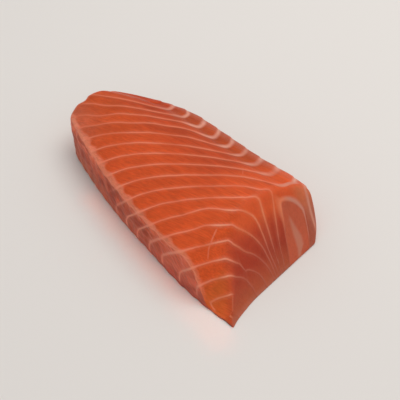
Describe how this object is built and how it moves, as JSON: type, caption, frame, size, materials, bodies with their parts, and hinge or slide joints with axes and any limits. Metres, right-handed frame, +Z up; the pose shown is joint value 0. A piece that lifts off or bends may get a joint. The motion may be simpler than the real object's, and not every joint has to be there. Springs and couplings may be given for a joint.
{
  "type": "salmon fillet",
  "caption": "Skinless block of raw salmon fillet, cut slantwise across the fish, lying on its flat underside.",
  "frame": {"origin": "on the resting plane, under the middle of the block's bounding box", "axes": "+X along the block towards the near tip, +Y across it towards the back of the fish, +Z up"},
  "size_m": [0.1794, 0.0888, 0.0372],
  "materials": {
    "flesh": "moist raw salmon flesh, orange-red with pale fat lines, low gloss"
  },
  "bodies": {
    "root": {"fillet": "flesh"}
  },
  "joints": []
}
